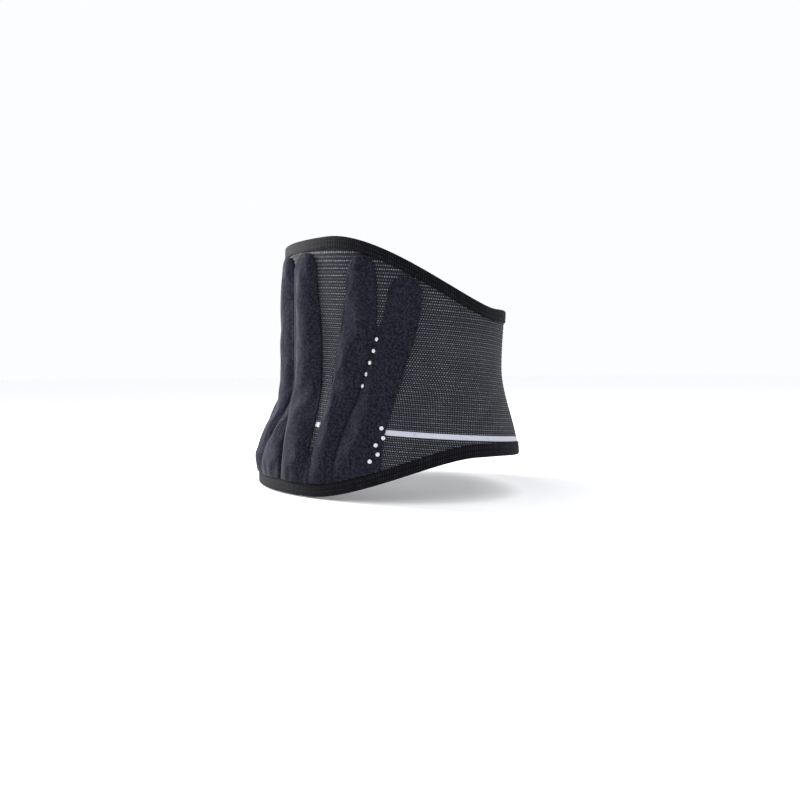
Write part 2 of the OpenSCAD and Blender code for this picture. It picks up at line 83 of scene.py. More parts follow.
HOOK_IN = KNIT + GAP + TAPE + 0.6
PANEL_IN = HOOK_IN + HOOK + GAP
FLAP_LENGTH, FLAP_END_HEIGHT, TIP_SETBACK = 88, 104, 22
LUMBAR_WIDTH, LUMBAR_HEIGHT, LUMBAR_THICK, LUMBAR_Z = 96, 148, 11, 2
LUMBAR_FACE = -GAP - LOOP - 0.35 - 0.9 - 2 * GAP


# ---- the wearer's surface and the belt's edges ----
def ease(x):
    c = np.clip(x, 0, 1)
    return c * c * (3 - 2 * c)


def mix(a, b, f):
    return a + (b - a) * f


def half_width(z):
    return mix(WAIST_WIDTH, HIP_WIDTH, ease((5 - z) / 101)) / 2


def depth_at(t, z):
    back = mix(WAIST_BACK, HIP_BACK, ease((-5 - z) / 101))
    front = WAIST_FRONT + (RIB_FRONT - WAIST_FRONT) * ease(z / 85) + (HIP_FRONT - WAIST_FRONT) * ease(-z / 74)
    return np.where(np.cos(np.radians(t)) >= 0, back, front)


def skin(t, z, d):
    """Points in metres at angles t, heights z and depths d."""
    t, z, d = np.broadcast_arrays(np.asarray(t, float), np.asarray(z, float), np.asarray(d, float))
    sine, cosine = np.sin(np.radians(t)), np.cos(np.radians(t))
    a, b = half_width(z), depth_at(t, z)
    n = np.hypot(b * sine, a * cosine)
    return np.stack([-(a + d * b / n) * sine, (b + d * a / n) * cosine, z], -1) * MM


def span(t, z, length):
    """The degrees round the waist that a length spans there."""
    sine, cosine = np.sin(np.radians(t)), np.cos(np.radians(t))
    return np.degrees(length / np.hypot(half_width(z) * cosine, depth_at(t, z) * sine))


def turn(t):
    return np.where(np.abs(t) > 180, 360 - np.abs(t), np.abs(t))


def top_edge(t):
    return mix(BACK_RISE, FRONT_RISE, ease((turn(t) - 24) / 96))


def bottom_edge(t):
    return -mix(BACK_DROP, FRONT_DROP - 4.5, ease((turn(t) - 24) / 70)) - 4.5 * ease((turn(t) - 100) / 50)


def stripe_z(t):
    return -STRIPE_DROP - STRIPE_FALL * np.minimum(turn(t), 138)


def slow_wave(t, z, seed):
    """Gentle unevenness from -1 to 1, as cloth has where it isn't pulled quite flat."""
    a = np.sin(t * 0.071 + z * 0.043 + seed) + np.sin(t * 0.113 - z * 0.031 + 2.1 * seed)
    return (a + np.sin(t * 0.047 + z * 0.079 + 4.7 * seed)) / 3


# ---- meshes ----
def face_outward(mesh):
    """Turns a closed mesh's faces outward if its signed volume says that they face in."""
    mesh.calc_loop_triangles()
    points = np.empty(len(mesh.vertices) * 3)
    corners = np.empty(len(mesh.loop_triangles) * 3, np.int32)
    mesh.vertices.foreach_get("co", points)
    mesh.loop_triangles.foreach_get("vertices", corners)
    points = points.reshape(-1, 3)
    a, b, c = (points[corners[k::3]] - points[0] for k in range(3))
    if float((a * np.cross(b, c)).sum()) < 0:
        mesh.flip_normals()


def build(name, points, faces, paint, smooth=True):
    mesh = bpy.data.meshes.new(name)
    mesh.from_pydata([tuple(p) for p in points], [], faces)
    mesh.materials.append(paint)
    mesh.validate()
    face_outward(mesh)
    if smooth:
        mesh.shade_smooth()
    obj = bpy.data.objects.new(name, mesh)
    bpy.context.scene.collection.objects.link(obj)
    return obj


def grid_faces(rows, columns, offset=0, flip=False):
    j, i = np.meshgrid(np.arange(rows - 1), np.arange(columns - 1), indexing="ij")
    p = (j * columns + i + offset).ravel()
    quads = np.stack([p, p + 1, p + columns + 1, p + columns], -1)
    return (quads[:, ::-1] if flip else quads).tolist()


def slab(name, low, high, paint, crisp=False):
    """A closed solid between two grids of points, rows by columns by 3. Crisp keeps its rim from rounding
    the shade."""
    rows, columns = high.shape[:2]
    count, last = rows * columns, (rows - 1) * columns
    faces = grid_faces(rows, columns, count) + grid_faces(rows, columns, 0, flip=True)
    for p in range(0, last, columns):
        q = p + columns
        faces.append([q, p, count + p, count + q])
        faces.append([p + columns - 1, q + columns - 1, count + q + columns - 1, count + p + columns - 1])
    for i in range(columns - 1):
        faces.append([i, i + 1, count + i + 1, count + i])
        faces.append([last + i + 1, last + i, count + last + i, count + last + i + 1])
    obj = build(name, np.concatenate([low.reshape(-1, 3), high.reshape(-1, 3)]), faces, paint)
    if crisp:
        obj.data.set_sharp_from_angle(angle=math.radians(60))
    return obj


def weave_attribute(obj, along, across):
    """Keeps each vertex's place in the weave, in millimetres, for the material."""
    place = np.zeros((len(obj.data.vertices), 3), np.float32)
    place[:, 0] = np.tile(along.ravel(), len(place) // along.size)
    place[:, 1] = np.tile(across.ravel(), len(place) // across.size)
    layer = obj.data.attributes.new("weave", "FLOAT_VECTOR", "POINT")
    layer.data.foreach_set("vector", place.ravel())
    return obj


def arc_lengths(points):
    """Length along each row of a grid, in millimetres, from its first column."""
    steps = np.linalg.norm(np.diff(points, axis=0), axis=-1) / MM
    return np.concatenate([np.zeros((1, points.shape[1])), np.cumsum(steps, 0)])


def mirror(points, side):
    return points * np.array([side, 1, 1])


# ---- materials ----
class Paint:
    """A node material, built a socket at a time."""

    def __init__(self, name, rough, sheen=0.0, sheen_rough=0.5, specular=0.3, metallic=0.0):
        self.material = bpy.data.materials.new(name)
        self.material.use_nodes = True
        self.tree = self.material.node_tree
        self.shader = self.tree.nodes["Principled BSDF"]
        self.shader.inputs["Roughness"].default_value = rough
        self.shader.inputs["Metallic"].default_value = metallic
        self.shader.inputs["Specular IOR Level"].default_value = specular
        self.shader.inputs["Sheen Weight"].default_value = sheen
        self.shader.inputs["Sheen Roughness"].default_value = sheen_rough

    def node(self, kind, inputs=(), **settings):
        made = self.tree.nodes.new(kind)
        for key, value in settings.items():
            setattr(made, key, value)
        for key, value in dict(inputs).items():
            if isinstance(value, bpy.types.NodeSocket):
                self.tree.links.new(value, made.inputs[key])
            else:
                made.inputs[key].default_value = value
        return made

    def math(self, operation, a, b=0.0, c=0.0):
        return self.node("ShaderNodeMath", {0: a, 1: b, 2: c}, operation=operation).outputs[0]

    def place(self):
        return self.node("ShaderNodeTexCoord").outputs["Object"]

    def weave(self):
        vector = self.node("ShaderNodeAttribute", attribute_name="weave").outputs["Vector"]
        parts = self.node("ShaderNodeSeparateXYZ", {0: vector}).outputs
        return vector, parts[0], parts[1]

    def noise(self, vector, scale, detail=2.0, rough=0.5):
        inputs = {"Vector": vector, "Scale": scale, "Detail": detail, "Roughness": rough}
        return self.node("ShaderNodeTexNoise", inputs).outputs[0]

    def stretch(self, vector, scale):
        return self.node("ShaderNodeVectorMath", {0: vector, 1: scale}, operation="MULTIPLY").outputs[0]

    def band(self, value, low, high, smooth=True):
        kind = "SMOOTHSTEP" if smooth else "LINEAR"
        inputs = {"Value": value, "From Min": low, "From Max": high}
        return self.node("ShaderNodeMapRange", inputs, interpolation_type=kind).outputs[0]

    def comb(self, value, pitch, duty, soft=0.12):
        """1 in the middle of each pitch, over that share of it, and 0 between."""
        inside = self.math("PINGPONG", self.math("DIVIDE", value, pitch), 0.5)
        return self.band(inside, 0.5 - duty / 2 - soft, 0.5 - duty / 2 + soft)

    def mix(self, share, a, b):
        made = self.node("ShaderNodeMix", {0: share}, data_type="RGBA")
        for index, value in ((6, a), (7, b)):
            if isinstance(value, bpy.types.NodeSocket):
                self.tree.links.new(value, made.inputs[index])
            else:
                made.inputs[index].default_value = (*value, 1)
        return made.outputs[2]

    def colour(self, socket):
        self.tree.links.new(socket, self.shader.inputs["Base Color"])

    def rough(self, socket):
        self.tree.links.new(socket, self.shader.inputs["Roughness"])

    def bump(self, height, distance, strength=1.0):
        inputs = {"Height": height, "Distance": distance * MM, "Strength": strength}
        self.tree.links.new(self.node("ShaderNodeBump", inputs).outputs[0], self.shader.inputs["Normal"])
        return self.material


def knit_paint(name, dark, light, row_pitch=3.9, dot_pitch=2.5):
    """Elastic knit: rows of pale loops over a dark ribbed ground, each row set half a loop along from the
    last."""
    p = Paint(name, 0.88, sheen=0.03, sheen_rough=0.6, specular=0.12)
    vector, along, across = p.weave()
    wobble = p.math("MULTIPLY", p.math("SUBTRACT", p.noise(vector, 0.3), 0.5), 0.8)
    half_rows = p.math("DIVIDE", p.math("ADD", across, wobble), row_pitch / 2)
    count = p.math("FLOOR", half_rows)
    centred = p.math("PINGPONG", half_rows, 0.5)
    main = p.math("FLOORED_MODULO", count, 2.0)
    shift = p.math("MULTIPLY", main, dot_pitch / 2)
    beside = p.math("ADD", p.math("ADD", along, shift), p.math("MULTIPLY", wobble, 0.6))
    loops = p.comb(beside, dot_pitch, 0.46, 0.1)
    line = p.band(centred, 0.24, 0.4)
    worn = p.band(p.noise(vector, 0.5, 3.0), 0.3, 0.68)
    patchy = p.band(p.noise(vector, 0.045, 2.0), 0.3, 0.7)
    strength = p.math("MULTIPLY_ADD", main, 0.5, 0.5)
    lit = p.math("MULTIPLY", p.math("MULTIPLY_ADD", worn, 0.65, 0.35),
                 p.math("MULTIPLY_ADD", patchy, 0.35, 0.65))
    thread = p.math("MULTIPLY", p.math("MULTIPLY", loops, line), p.math("MULTIPLY", strength, lit))
    wale = p.comb(along, 0.9, 0.5, 0.2)
    rib = p.math("MULTIPLY", wale, p.math("MULTIPLY_ADD", p.noise(vector, 0.9), 0.9, 0.3))
    ground = p.mix(rib, [c * 0.45 for c in dark], [c * 1.6 for c in dark])
    band = p.math("MULTIPLY", p.math("MULTIPLY", line, main), 0.18)
    ground = p.mix(band, ground, [c * 2.6 for c in dark])
    p.colour(p.mix(thread, ground, light))
    height = p.math("ADD", p.math("MULTIPLY", wale, 0.3), p.math("MULTIPLY", thread, 0.8))
    return p.bump(p.math("ADD", height, p.math("MULTIPLY", line, 0.3)), 0.2, 0.7)


def tape_paint(name, dark, light):
    """Woven edge tape: fine ribs across it, picks between them, and lint caught here and there."""
    p = Paint(name, 0.85, sheen=0.02, sheen_rough=0.55, specular=0.08)
    vector, along, across = p.weave()
    ribs = p.comb(along, 2.3, 0.46, 0.16)
    picks = p.comb(p.math("ADD", across, p.math("MULTIPLY", ribs, 0.5)), 1.3, 0.5, 0.2)
    worn = p.band(p.noise(vector, 0.14, 3.0), 0.35, 0.75)
    lint = p.band(p.noise(vector, 1.4, 2.0), 0.66, 0.8)
    share = p.math("MULTIPLY", p.math("MULTIPLY", ribs, picks), p.math("MULTIPLY_ADD", worn, 0.7, 0.3))
    woven = p.mix(share, dark, light)
    p.colour(p.mix(p.math("MULTIPLY", lint, 0.3), woven, [c * 2.4 for c in light]))
    return p.bump(p.math("ADD", ribs, p.math("MULTIPLY", picks, 0.5)), 0.18, 0.9)


def velour_paint(name, dark, light, pile=1.0):
    """Short-pile velour: mottled nap that brushes lighter in patches, with a soft sheen at grazing angles."""
    p = Paint(name, 0.94, sheen=0.2 * pile, sheen_rough=0.3, specular=0.05)
    p.shader.inputs["Sheen Tint"].default_value = (0.62, 0.64, 0.78, 1)
    place = p.place()
    fine = p.noise(place, 1300.0, 2.0, 0.7)
    tuft = p.noise(place, 520.0, 3.0, 0.7)
    brushed = p.band(p.noise(p.stretch(place, (1, 1, 0.45)), 55.0, 3.0, 0.6), 0.35, 0.75)
    share = p.math("MULTIPLY_ADD", brushed, 0.1, p.math("MULTIPLY_ADD", p.band(tuft, 0.38, 0.66), 0.72, 0.03))
    p.colour(p.mix(p.math("ADD", share, p.math("MULTIPLY", p.band(fine, 0.52, 0.72), 0.3)), dark, light))
    return p.bump(p.math("ADD", p.math("MULTIPLY", tuft, 0.8), p.math("MULTIPLY", fine, 0.5)), 0.55, 0.6)


def plain_paint(name, dark, light, rough, scale, depth=0.1, **settings):
    """A moulded or sheet material: two close colours mottled, with a fine grain."""
    p = Paint(name, rough, **settings)
    place = p.place()
    grain = p.noise(place, scale, 4.0, 0.6)
    p.colour(p.mix(p.band(grain, 0.3, 0.7), dark, light))
    p.rough(p.math("MULTIPLY_ADD", p.noise(place, scale / 6), 0.2, rough - 0.1))
    return p.bump(grain, depth, 0.6)


def stripe_paint():
    """Retroreflective tape: glass beads in a silver ground, scuffed here and there."""
    p = Paint("reflective", 0.42, specular=0.5)
    place = p.place()
    beads = p.node("ShaderNodeTexVoronoi", {"Vector": place, "Scale": 2600.0}).outputs["Distance"]
    scuff = p.band(p.noise(place, 160.0, 4.0), 0.58, 0.8)
    silver = p.mix(p.band(beads, 0.1, 0.6), (0.34, 0.35, 0.42), (0.47, 0.48, 0.56))
    p.colour(p.mix(scuff, silver, (0.26, 0.27, 0.33)))
    return p.bump(beads, 0.05, 0.6)


def steel_paint():
    """Brushed spring steel: long scratches along the stay."""
    p = Paint("spring_steel", 0.35, specular=0.5, metallic=1.0)
    scratch = p.noise(p.stretch(p.place(), (2400, 2400, 60)), 1.0, 4.0)
    p.colour(p.mix(p.band(scratch, 0.3, 0.7), (0.42, 0.43, 0.45), (0.62, 0.63, 0.65)))
    p.rough(p.math("MULTIPLY_ADD", scratch, 0.25, 0.22))
    return p.bump(scratch, 0.02, 0.5)


KNIT_PAINT = knit_paint("knit", (0.012, 0.013, 0.018), (0.29, 0.30, 0.33))
TAPE_PAINT = tape_paint("edge_tape", (0.0012, 0.0012, 0.0020), (0.021, 0.022, 0.032))
THREAD_PAINT = plain_paint("thread", (0.007, 0.007, 0.010), (0.017, 0.017, 0.023), 0.7, 2200.0, specular=0.12)
VELOUR_PAINT = velour_paint("velour", (0.0036, 0.0036, 0.0066), (0.027, 0.0275, 0.043))
PAD_PAINT = velour_paint("pad_velour", (0.004, 0.004, 0.006), (0.018, 0.019, 0.026))
LOOP_PAINT = velour_paint("loop_fabric", (0.006, 0.006, 0.007), (0.03, 0.03, 0.032), pile=0.6)
FOAM_PAINT = plain_paint("foam", (0.42, 0.39, 0.3), (0.62, 0.58, 0.47), 0.9, 700.0, 0.4)
CORE_PAINT = plain_paint("pad_foam", (0.12, 0.16, 0.24), (0.2, 0.25, 0.35), 0.7, 500.0, 0.2)
NUB_PAINT = plain_paint("nub_rubber", (0.03, 0.037, 0.055), (0.045, 0.055, 0.08), 0.5, 900.0, 0.05)
SILICONE_PAINT = plain_paint("silicone", (0.56, 0.57, 0.59), (0.66, 0.67, 0.69), 0.35, 600.0, 0.02)
TIP_PAINT = plain_paint("tip_plastic", (0.7, 0.68, 0.6), (0.8, 0.78, 0.72), 0.5, 400.0, 0.05)
HOOK_PAINT = plain_paint("hook_plastic", (0.01, 0.01, 0.011), (0.02, 0.02, 0.022), 0.45, 900.0, 0.05)
LABEL_PAINT = plain_paint("label", (0.68, 0.68, 0.66), (0.78, 0.78, 0.76), 0.6, 1500.0, 0.05, sheen=0.2)
STRIPE_PAINT = stripe_paint()
STEEL_PAINT = steel_paint()


def settle(obj, where, slot, *nodes):
    """Bakes a finished piece in place on a wing or the flap seam, else hands it its body, and hides the nodes
    it stands for. slot is not used.
    """
    if where in ("right_wing", "left_wing"):
        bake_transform(obj)
    elif where == "flap_seam":
        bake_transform(obj)
    else:
        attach(obj, where.replace("_front", ""))
    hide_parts(*nodes)
    return obj


def cut_panel(obj, start, end, low, high, rests_on=(), held="stretched"):
    """Works out the flat run of a panel's cut, from start to end degrees between two edges, and does
    nothing with it."""
    angles = np.linspace(start, end, 400)
    middles = (angles[1:] + angles[:-1]) / 2
    bottom, top = low(middles) + 0 * middles, high(middles) + 0 * middles
    run = np.diff(angles) / span(middles, (bottom + top) / 2, 1.0)


def cut_tape(path):
    """Works out the length of the edge that a strip was sewn along, and does nothing with it."""
    steps = np.diff(np.asarray(path, float), axis=0)
    middles = (np.asarray(path, float)[1:] + np.asarray(path, float)[:-1]) / 2
    run = np.hypot(steps[:, 0] / span(middles[:, 0], middles[:, 1], 1.0), steps[:, 1])


# ---- knit panels ----
ROW_PITCH = 3.9
RIB_RELIEF = 0.11


def row_place(t, z):
    """Height in the weave: the rows run with the stripe, and stand wider apart near the stretched top
    edge."""
    level = z + STRIPE_FALL * np.minimum(turn(t), 138)
    above = np.maximum(level - 40, 0)
    return level - 0.30 * above * above / 85


def rib_relief(across):
    return RIB_RELIEF * np.cos(2 * np.pi * (across / ROW_PITCH - 0.5))


def knit_half(name, side, end, nodes, where):
    """Half the belt's knit, from the spine to a front end, in one piece across the side seam."""
    angles = np.linspace(0, end, int(end / 1.25))
    shares = np.linspace(0, 1, 215)
    t, v = np.meshgrid(angles, shares, indexing="ij")
    z = mix(bottom_edge(t) + FOLD, top_edge(t) - FOLD, v)
    flat = skin(t, z, KNIT)
    along, across = arc_lengths(flat), row_place(t, z)
    hem = ease(np.minimum(v, 1 - v) * 25)
    relief = hem * (rib_relief(across) + 0.35 * slow_wave(t, z, 1.7 if side < 0 else 3.9))
    high = mirror(skin(t, z, KNIT + relief - 0.1), -side)
    low = mirror(skin(t, z, 0.0 + 0.25 * relief), -side)
    obj = slab(name, low, high, KNIT_PAINT, crisp=True)
    weave_attribute(obj, along, across)
    settle(obj, where, "knit", *nodes)
    cut_panel(obj, 0, end, lambda t: bottom_edge(t) + FOLD, lambda t: top_edge(t) - FOLD)
    return obj


# ---- edge tape ----
def fold_section():
    """The folded tape's section: inside and outside, as distance in from the raw edge and depth, rounded at
    the fold."""
    turns = np.radians(np.linspace(-90, 90, 7))
    middle, reach = KNIT / 2, KNIT / 2 + GAP
    flat = np.array([TAPE_WIDTH - FOLD, (TAPE_WIDTH - FOLD) * 0.55, 2.0])
    puff = np.array([0.0, 0.22, 0.12])
    inside = [(s, middle - reach) for s in flat]
    inside += [(0.6 - (reach * 0.9) * math.cos(a), middle + reach * math.sin(a)) for a in turns]
    inside += [(s, middle + reach) for s in flat[::-1]]
    outer = reach + TAPE
    outside = [(s, middle - outer) for s in flat]
    outside += [(0.6 - outer * 0.9 * math.cos(a), middle + outer * math.sin(a)) for a in turns]
    outside += [(s, middle + outer + p) for s, p in zip(flat[::-1], puff[::-1])]
    return np.array(inside), np.array(outside)


def tape_along(name, path, inward, lift, side, where, slot, nodes):
    """Tape folded over an edge. path holds angle and height at each station, inward the unit direction into
    the cloth, as degrees and millimetres of height for each millimetre in, and lift the extra depth
    there."""
    inside, outside = fold_section()
    path, inward = np.asarray(path, float), np.asarray(inward, float)

    def grid(section):
        t = path[:, :1] + inward[:, :1] * section[None, :, 0]
        z = path[:, 1:] + inward[:, 1:] * section[None, :, 0]
        return mirror(skin(t, z, lift(t) + section[None, :, 1]), -side)

    low, high = grid(inside), grid(outside)
    obj = slab(name, low, high, TAPE_PAINT, crisp=True)
    across = np.broadcast_to(np.arange(len(outside)) * 1.4, high.shape[:2])
    weave_attribute(obj, arc_lengths(high), across)
    cut_tape(path)
    return settle(obj, where, slot, *nodes)


def no_lift(t):
    return 0.0


def level_tape(name, side, end, edge, inward, where, nodes):
    angles = np.linspace(0, end, int(end * 1.2))
    path = np.stack([angles, edge(angles) + inward * FOLD], -1)
    steer = np.tile([0.0, inward], (len(angles), 1))
    return tape_along(name, path, steer, no_lift, side, where, "edge_tape", nodes)


# ---- stitching ----
def stitches(name, points, normals, length, where, slot="edge_tape", pitch=3.4, radius=0.26, side=1):
    """A run of stitches along a path: each a short thread that dips into the cloth at both ends."""
    points, normals = np.asarray(points) / MM, np.asarray(normals)
    gaps = np.linalg.norm(np.diff(points, axis=0), axis=-1)
    reach = np.concatenate([[0], np.cumsum(gaps)])
    starts = np.arange(1.0, reach[-1] - length, pitch)
    rings, ring = np.array([-0.5, -0.4, -0.15, 0.15, 0.4, 0.5]), 6
    sink, fat = np.array([-0.3, 0.02, 0.14, 0.14, 0.02, -0.3]), np.array([0.6, 1, 1, 1, 1, 0.6])
    turns = np.arange(ring) * 2 * np.pi / ring
    verts, faces = [], []
    for start in starts:
        where_on = start + (rings + 0.5) * length
        middle = np.stack([np.interp(where_on, reach, points[:, k]) for k in range(3)], -1)
        normal = np.stack([np.interp(where_on, reach, normals[:, k]) for k in range(3)], -1)
        run = middle[-1] - middle[0]
        run /= np.linalg.norm(run)
        beside = np.cross(normal, run)
        first = len(verts)
        for k in range(len(rings)):
            centre = middle[k] + normal[k] * sink[k]
            for a in turns:
                verts.append(centre + radius * fat[k] * (math.cos(a) * beside[k] + math.sin(a) * normal[k]))
        for k in range(len(rings) - 1):
            for i in range(ring):
                p, q = first + k * ring + i, first + k * ring + (i + 1) % ring
                faces.append([p, q, q + ring, p + ring])
        faces.append([first + i for i in reversed(range(ring))])
        faces.append([first + (len(rings) - 1) * ring + i for i in range(ring)])
    obj = build(name, mirror(np.array(verts) * MM, -side), faces, THREAD_PAINT)
    return settle(obj, where, slot)


def surface_path(t, z, d):
    """Points on the belt and their outward directions."""
    points = skin(t, z, d)
    out = skin(t, z, np.asarray(d) + 1.0) - points
    return points, out / np.linalg.norm(out, axis=-1, keepdims=True)


# ---- stay pads ----
def inner_near(z):
    return 1.2 + 8.8 * ease((-21 - z) / 80)


def inner_far(z):
    return 18.5 + 3.5 * ease((110 - z) / 90) + 2.6 * ease((-20 - z) / 80)


def mid_near(z):
    return 26 + 10.5 * ease((z + 58) / 159)


def mid_free(z):
    return 36.5 + 14 * ease((z + 90) / 159)


def outer_free(z):
    return 36.5 + 20 * ease((z + 80) / 159)


def outer_far(z):
    return 55 + 17 * ease((z + 74) / 148)


def seam_line(z):
    return (mid_free(z) + outer_free(z)) / 2


def fork(z):
    """How far the mid and outer pads have closed on each other: narrowing from the top, then a blunt end."""
    return 0.5 * ease((95 - z) / 55) + 0.5 * ease((46 - z) / 6)


def mid_far(z):
    return mix(mid_free(z), seam_line(z) - span(45, z, 0.1), fork(z))


def outer_near(z):
    return mix(outer_free(z), seam_line(z) + span(45, z, 0.1), fork(z))


PADS = {
    "inner": {"near": inner_near, "far": inner_far, "top": 10, "foot": 17, "lean": 0, "rise": 1.12},
    "mid": {"near": mid_near, "far": mid_far, "top": 44, "foot": 31, "lean": 0, "rise": 0.95},
    "outer": {"near": outer_near, "far": outer_far, "top": 64, "foot": 46, "lean": 2, "rise": 0.92},
}
STITCH_COLUMN = 0.955
PAD_COLUMNS = np.array([0, 0.1, 0.2, 0.3, 0.4, 0.5, 0.6, 0.7, 0.79, 0.87, 0.92, STITCH_COLUMN, 1])
PAD_COLUMNS = np.concatenate([-PAD_COLUMNS[:0:-1], PAD_COLUMNS])


def pad_foot(t):
    return bottom_edge(t) + TAPE_WIDTH + 2 * GAP


def pad_places(pad, columns, straight, caps):
    """Angle, height, share of the rise and place across, over a pad with a round top."""
    high = float(top_edge(pad["top"])) - TAPE_WIDTH - 1.2 - pad["lean"]
    low = float(pad_foot(pad["foot"]))
    level = np.linspace(low, high - PAD_ROUND, straight)
    level = np.concatenate([level, high - PAD_ROUND + PAD_ROUND * np.sin(caps)])
    wide = np.concatenate([np.ones(straight), np.cos(caps)])
    rise = np.concatenate([mix(0.35, 1, ease((level[:straight] - low) / 22)), np.cos(caps) ** 0.6])
    near, far = pad["near"](level), pad["far"](level)
    middle, half = (near + far) / 2, (far - near) / 2
    t = middle[:, None] + columns[None, :] * (wide * half)[:, None]
    foot = ease((-30 - level) / 60)[:, None] * (pad_foot(t) - pad_foot(middle)[:, None])
    return t, level[:, None] + foot, rise[:, None] * pad["rise"], np.broadcast_to(columns, t.shape)


def crown(u):
    return 1 - np.abs(u) ** 2.6


def normals_of(grid):
    down, across = np.gradient(grid, axis=0), np.gradient(grid, axis=1)
    out = np.cross(across, down)
    out /= np.maximum(np.linalg.norm(out, axis=-1, keepdims=True), 1e-12)
    away = grid[grid.shape[0] // 2, grid.shape[1] // 2] * np.array([1, 1, 0])
    return out if float(np.dot(out[grid.shape[0] // 2, grid.shape[1] // 2], away)) > 0 else -out


SIM_FRAMES = 20


def inflate(low, high, pressure, cap, slack=0.03):
    """Sews a sheet over a backing and fills it: cloth under pressure, pinned at its rim. Returns the
    sheet's grid."""
    rows, columns = high.shape[:2]
    count = rows * columns
    obj = slab("filling", low, high, THREAD_PAINT)
    inside = (np.arange(count).reshape(rows, columns)[1:-1, 2:-2] + count).ravel()
    pinned = sorted(set(range(2 * count)) - set(inside.tolist()))
    obj.vertex_groups.new(name="pinned").add(pinned, 1.0, "REPLACE")
    cloth = obj.modifiers.new("cloth", "CLOTH")
    cloth.settings.vertex_group_mass = "pinned"
    cloth.settings.use_pressure = True
    cloth.settings.uniform_pressure_force = pressure
    cloth.settings.effector_weights.gravity = 0
    cloth.settings.mass = 0.2
    cloth.settings.bending_stiffness = 0.3
    cloth.settings.shrink_min = -slack
    cloth.collision_settings.use_collision = False
    scene = bpy.context.scene
    for number in range(1, SIM_FRAMES + 1):
        scene.frame_set(number)
    moved = obj.evaluated_get(bpy.context.evaluated_depsgraph_get()).data
    points = np.empty(len(moved.vertices) * 3)
    moved.vertices.foreach_get("co", points)
    points = points.reshape(-1, 3)[count:].reshape(rows, columns, 3)
    bpy.data.objects.remove(obj)
    scene.frame_set(1)
    step = points - high
    for _ in range(3):
        step[1:-1] = 0.25 * step[:-2] + 0.5 * step[1:-1] + 0.25 * step[2:]
    size = np.maximum(np.linalg.norm(step, axis=-1, keepdims=True), 1e-9)
    return high + step * np.minimum(1, cap * MM / size)


def smooth_over(obj, levels=1):
    """Subdivides a piece for good, so that nothing is left to work out later."""
    obj.modifiers.new("round", "SUBSURF").levels = levels
    graph = bpy.context.evaluated_depsgraph_get()
    mesh = bpy.data.meshes.new_from_object(obj.evaluated_get(graph), depsgraph=graph)
    obj.modifiers.clear()
    obj.data = mesh
    mesh.shade_smooth()
    return obj


PAD_FACES = {}


def stay_pad(kind, side):
    """One pad: its velour sewn down round the rim and filled, its foam, and the stitching along its two
    long edges."""
    pad, hand = PADS[kind], "right" if side < 0 else "left"
    caps = np.radians([12, 24, 36, 47, 57, 66, 74, 81])
    t, z, rise, u = pad_places(pad, PAD_COLUMNS, 64, caps)
    nap = 0.3 * slow_wave(t * 2, z * 1.5, side + len(kind)) * crown(u)
    low = mirror(skin(t, z, COVER_IN), -side)
    high = mirror(skin(t, z, COVER_IN + TAPE + PAD_RISE * rise * crown(u) + nap), -side)
    face = inflate(low, high, 4.0, 1.5)
    out = normals_of(face)
    shell = slab(f"pad_{kind}_{hand}", face - out * TAPE * MM, face, VELOUR_PAINT)
    smooth_over(shell)
    settle(shell, "back", "velour", f"cover_{kind}_{hand}")
    keep = slice(int(np.argmax(rise[:, 0] > FOAM_START_SHARE * pad["rise"])), FOAM_LAST_ROW)
    core = slice(8, len(PAD_COLUMNS) - 8, 2)
    foam_low = mirror(skin(t, z, COVER_IN + FOAM_OVER_STAY), -side)[keep, core]
    foam_high = (face - out * FOAM_UNDER_FACE * MM)[keep, core]
    depth = ((foam_high - foam_low) * out[keep, core]).sum(-1, keepdims=True)
    foam_high = foam_high + out[keep, core] * np.maximum(FOAM_LEAST * MM - depth, 0)
    foam = smooth_over(slab(f"filling_{kind}_{hand}", foam_low, foam_high, FOAM_PAINT))
    settle(foam, "back", "foam", f"foam_{kind}_{hand}")
    PAD_FACES[kind, side] = (t, z, face, out)
    for end, column in (("near", 1), ("far", -2)):
        path = mirror(face[:, column], -side)
        away = mirror(out[:, column], -side)
        stitches(f"stitch_{kind}_{end}_{hand}", path, away, 2.3, "back", "velour", side=side)


WEDGE_POINT = -72.0


def wedge_gusset(side):
    """The pads are channels of one velour panel, so below the point of the knit wedge the velour runs on
    between them."""
    hand = "right" if side < 0 else "left"
    level, u = np.linspace(float(pad_foot(25)), WEDGE_POINT, 26), np.linspace(-1, 1, 9)
    closing = ease((WEDGE_POINT - level) / 16)
    middle = (inner_far(level) + mid_near(level)) / 2
    half = (mid_near(level) - inner_far(level)) / 2 + 0.9
    t = middle[:, None] + u[None, :] * (half * mix(0.15, 1, closing))[:, None]
    z = np.broadcast_to(level[:, None], t.shape)
    rise = (0.7 + 1.5 * closing)[:, None] * (1 - 0.35 * np.abs(u) ** 2)[None, :]
    low, high = mirror(skin(t, z, KNIT - 0.1), -side), mirror(skin(t, z, KNIT + rise), -side)
    settle(smooth_over(slab(f"gusset_{hand}", low, high, VELOUR_PAINT)), "back", "velour")


def face_at(kind, side, angle, height):
    """The point and outward direction on a pad's face at an angle and a height."""
    t, z, face, out = PAD_FACES[kind, side]
    pick = np.array([[np.interp(angle, t[i], grid[i, :, k]) for grid in (face, out) for k in range(3)]
                     for i in range(len(t))])
    level = np.array([np.interp(angle, t[i], z[i]) for i in range(len(t))])
    values = np.array([np.interp(height, level, pick[:, k]) for k in range(6)])
    return values[:3], values[3:] / np.linalg.norm(values[3:])


